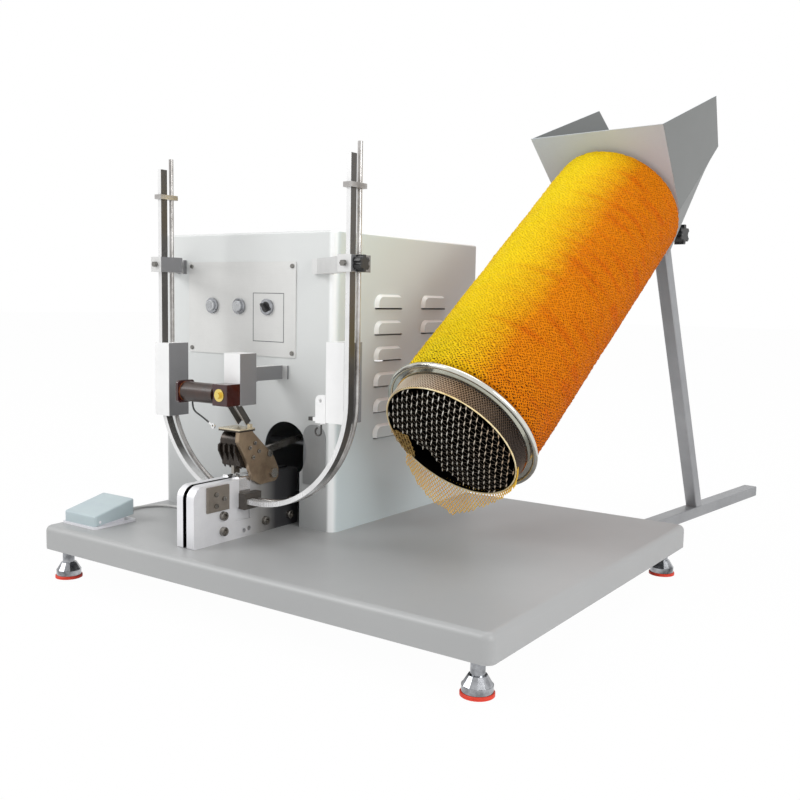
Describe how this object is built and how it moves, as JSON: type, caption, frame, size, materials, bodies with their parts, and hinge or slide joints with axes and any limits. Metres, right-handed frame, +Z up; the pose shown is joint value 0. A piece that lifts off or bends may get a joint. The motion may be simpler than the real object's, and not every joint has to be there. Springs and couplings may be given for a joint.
{
  "type": "mesh bag clipping machine",
  "caption": "Table machine that clips net bags shut: cabinet, clip rails, punch head over a slotted die block, foot switch, and a tilting net tube with hopper on a floor stand.",
  "frame": {"origin": "on the floor, under the middle of the whole object", "axes": "+X to the operator's right, +Y from the operator to the back, +Z up"},
  "size_m": [0.9, 1.5816, 0.9074],
  "materials": {
    "platform_steel": "satin, rounded folded edges",
    "inner_steel": "plain",
    "foot_red": "matt",
    "foot_chrome": "polished",
    "cabinet_paint": "satin",
    "black_plastic": "matt",
    "plate_steel": "fine brushed",
    "zinc_steel": "plated",
    "switch_chrome": "polished",
    "button_plastic": "gloss",
    "motor_paint": "satin",
    "tool_steel": "ground",
    "block_steel": "ground bright",
    "dark_steel": "dark, ground",
    "bright_chrome": "polished",
    "bronze_steel": "oiled, bronze tint",
    "rail_steel": "polished",
    "bracket_steel": "brushed",
    "cover_paint": "white, satin",
    "coil_red": "dark red",
    "coil_winding": "taped winding",
    "pedal_grey": "moulded",
    "pedal_plastic": "moulded, pale",
    "lead_grey": "matt",
    "lead_black": "matt",
    "stand_steel": "brushed",
    "tube_steel": "brushed",
    "net_mesh": "knitted plastic net, gathered"
  },
  "bodies": {
    "root": {"platform": "platform_steel", "platform_frame": "inner_steel", "foot_rings": "foot_red", "cabinet": "cabinet_paint", "rear_panel": "cabinet_paint", "mains_inlet": "black_plastic", "control_plate": "plate_steel", "fixing_screws": "zinc_steel", "panel_switches": "switch_chrome", "opening_shutter": "plate_steel", "control_box": "inner_steel", "gear_motor": "motor_paint", "drive_bracket": "inner_steel", "block_left_plate": "block_steel", "block_right_plate": "block_steel", "block_spacer": "dark_steel", "block_screws": "zinc_steel", "face_plate": "dark_steel", "die_jaws": "bright_chrome", "clip_guide": "dark_steel", "head_pin": "tool_steel", "left_rail": "rail_steel", "right_rail": "rail_steel", "rail_rods": "rail_steel", "rail_brackets": "bracket_steel", "left_cover": "cover_paint", "right_cover": "cover_paint", "centre_cover": "cover_paint", "centre_chute": "rail_steel", "coil_block": "coil_red", "solenoid_coil": "coil_winding", "clip_sensor": "cover_paint", "pedal_base": "pedal_grey", "pedal_spring": "zinc_steel", "cabinet_gland": "black_plastic", "pedal_lead": "lead_grey", "coil_lead": "lead_black", "ring_terminal": "bright_chrome", "stand_foot": "stand_steel", "stand_post": "stand_steel"},
    "power_button": {"power_button": "button_plastic"},
    "reset_button": {"reset_button": "button_plastic"},
    "selector": {"selector_knob": "black_plastic"},
    "pedal": {"pedal_cover": "pedal_plastic"},
    "rail_knob": {"clamp_knob": "black_plastic"},
    "cam": {"drive_cam": "tool_steel"},
    "punch_head": {"punch_housing": "bronze_steel", "punch_side_plate": "bronze_steel", "punch_screws": "zinc_steel", "punch_blade": "tool_steel"},
    "rod": {"drive_rod": "tool_steel"},
    "tube": {"net_tube": "tube_steel", "mouth_ring": "tube_steel", "net_sleeve": "net_mesh", "hopper": "tube_steel"},
    "tube_knob": {"stand_knob": "black_plastic"},
    "front_left_foot": {"foot_front_left": "foot_chrome"},
    "front_right_foot": {"foot_front_right": "foot_chrome"},
    "rear_left_foot": {"foot_rear_left": "foot_chrome"},
    "rear_right_foot": {"foot_rear_right": "foot_chrome"}
  },
  "joints": [
    {"name": "power_press", "type": "slide", "parent": "root", "child": "power_button", "axis": [0, 1, 0], "range_m": [0, 0.003], "stiffness_N_per_m": 300},
    {"name": "reset_press", "type": "slide", "parent": "root", "child": "reset_button", "axis": [0, 1, 0], "range_m": [0, 0.003], "stiffness_N_per_m": 300},
    {"name": "selector_turn", "type": "hinge", "parent": "root", "child": "selector", "pos_m": [-0.169, -0.51878, 0.481], "axis": [0, -1, 0], "range_deg": [0, 90]},
    {"name": "pedal_press", "type": "hinge", "parent": "root", "child": "pedal", "pos_m": [-0.3945, -0.74478, 0.104], "axis": [-1, 0, 0], "range_deg": [0, 6], "stiffness_Nm_per_rad": 20, "springref_deg": -5.73, "deforming": ["pedal_spring"]},
    {"name": "rail_knob_turn", "type": "hinge", "parent": "root", "child": "rail_knob", "pos_m": [0.115, -0.63078, 0.552], "axis": [1, 0, 0], "continuous": true},
    {"name": "cam_turn", "type": "hinge", "parent": "root", "child": "cam", "pos_m": [-0.1255, -0.38238, 0.253], "axis": [1, 0, 0], "range_deg": [0, 180]},
    {"name": "head_swing", "type": "hinge", "parent": "root", "child": "punch_head", "pos_m": [-0.1155, -0.56878, 0.196], "axis": [1, 0, 0], "range_deg": [0, 8]},
    {"name": "rod_swing", "type": "hinge", "parent": "punch_head", "child": "rod", "pos_m": [-0.133, -0.57678, 0.231], "axis": [1, 0, 0], "range_deg": [-7.48, 0]},
    {"name": "tube_tilt", "type": "hinge", "parent": "root", "child": "tube", "pos_m": [0.2813, 0.20662, 0.6442], "axis": [-0.9932, 0.1167, 0], "range_deg": [-1, 15]},
    {"name": "tube_knob_turn", "type": "hinge", "parent": "root", "child": "tube_knob", "pos_m": [0.2813, 0.20662, 0.6442], "axis": [0.9932, -0.1167, 0], "continuous": true},
    {"name": "front_left_level", "type": "hinge", "parent": "root", "child": "front_left_foot", "pos_m": [-0.417, -0.76278, 0.013], "axis": [0, 0, 1], "continuous": true},
    {"name": "front_right_level", "type": "hinge", "parent": "root", "child": "front_right_foot", "pos_m": [0.417, -0.76278, 0.013], "axis": [0, 0, 1], "continuous": true},
    {"name": "rear_left_level", "type": "hinge", "parent": "root", "child": "rear_left_foot", "pos_m": [-0.417, -0.08078, 0.013], "axis": [0, 0, 1], "continuous": true},
    {"name": "rear_right_level", "type": "hinge", "parent": "root", "child": "rear_right_foot", "pos_m": [0.417, -0.08078, 0.013], "axis": [0, 0, 1], "continuous": true}
  ],
  "couplings": [
    {"joint": "head_swing", "follows": "cam_turn", "ratio": 0.044444},
    {"joint": "rod_swing", "follows": "cam_turn", "ratio": -0.041511}
  ]
}
